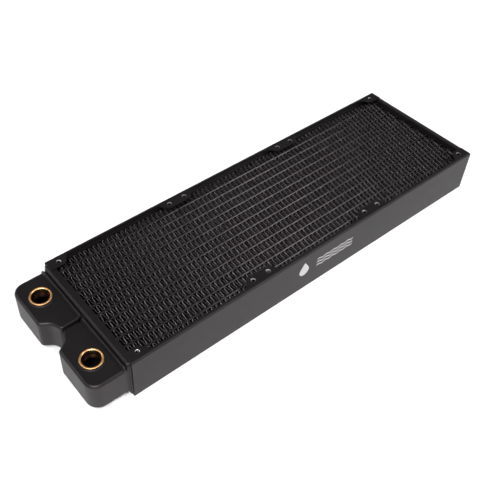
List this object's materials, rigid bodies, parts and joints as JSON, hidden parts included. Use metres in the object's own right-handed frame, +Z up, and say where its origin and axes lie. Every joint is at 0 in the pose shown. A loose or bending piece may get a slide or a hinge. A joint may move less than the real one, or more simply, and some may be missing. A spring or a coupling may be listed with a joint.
{
  "type": "liquid cooling radiator",
  "caption": "Long flat liquid cooling radiator with a recessed tube and fin core, side rails with fan screw tabs, and a two-lobed tank with threaded ports on top.",
  "frame": {"origin": "centre of the underside of the whole radiator's box", "axes": "+X along the length, from the port tank to the return tank; +Y from the front rail to the back rail; +Z up, the way the ports open"},
  "size_m": [0.397, 0.118, 0.04],
  "materials": {
    "black_paint": "satin black paint with a fine texture over folded steel and brass sheet",
    "core_paint": "thin satin black paint over brass tubes and copper fins",
    "bare_brass": "turned bare brass"
  },
  "bodies": {
    "root": {"port_tank": "black_paint", "tank_divider": "black_paint", "header_plate_port_end": "black_paint", "header_plate_return_end": "black_paint", "return_tank": "black_paint", "side_rail_front": "black_paint", "side_rail_back": "black_paint", "core_side_plate_front": "core_paint", "core_side_plate_back": "core_paint", "flat_tube_1": "core_paint", "flat_tube_2": "core_paint", "flat_tube_3": "core_paint", "flat_tube_4": "core_paint", "flat_tube_5": "core_paint", "flat_tube_6": "core_paint", "flat_tube_7": "core_paint", "flat_tube_8": "core_paint", "flat_tube_9": "core_paint", "flat_tube_10": "core_paint", "flat_tube_11": "core_paint", "flat_tube_12": "core_paint", "fin_strip_1": "core_paint", "fin_strip_2": "core_paint", "fin_strip_3": "core_paint", "fin_strip_4": "core_paint", "fin_strip_5": "core_paint", "fin_strip_6": "core_paint", "fin_strip_7": "core_paint", "fin_strip_8": "core_paint", "fin_strip_9": "core_paint", "fin_strip_10": "core_paint", "fin_strip_11": "core_paint", "fin_strip_12": "core_paint", "fin_strip_13": "core_paint", "port_bung_front": "bare_brass", "port_bung_back": "bare_brass"}
  },
  "joints": []
}
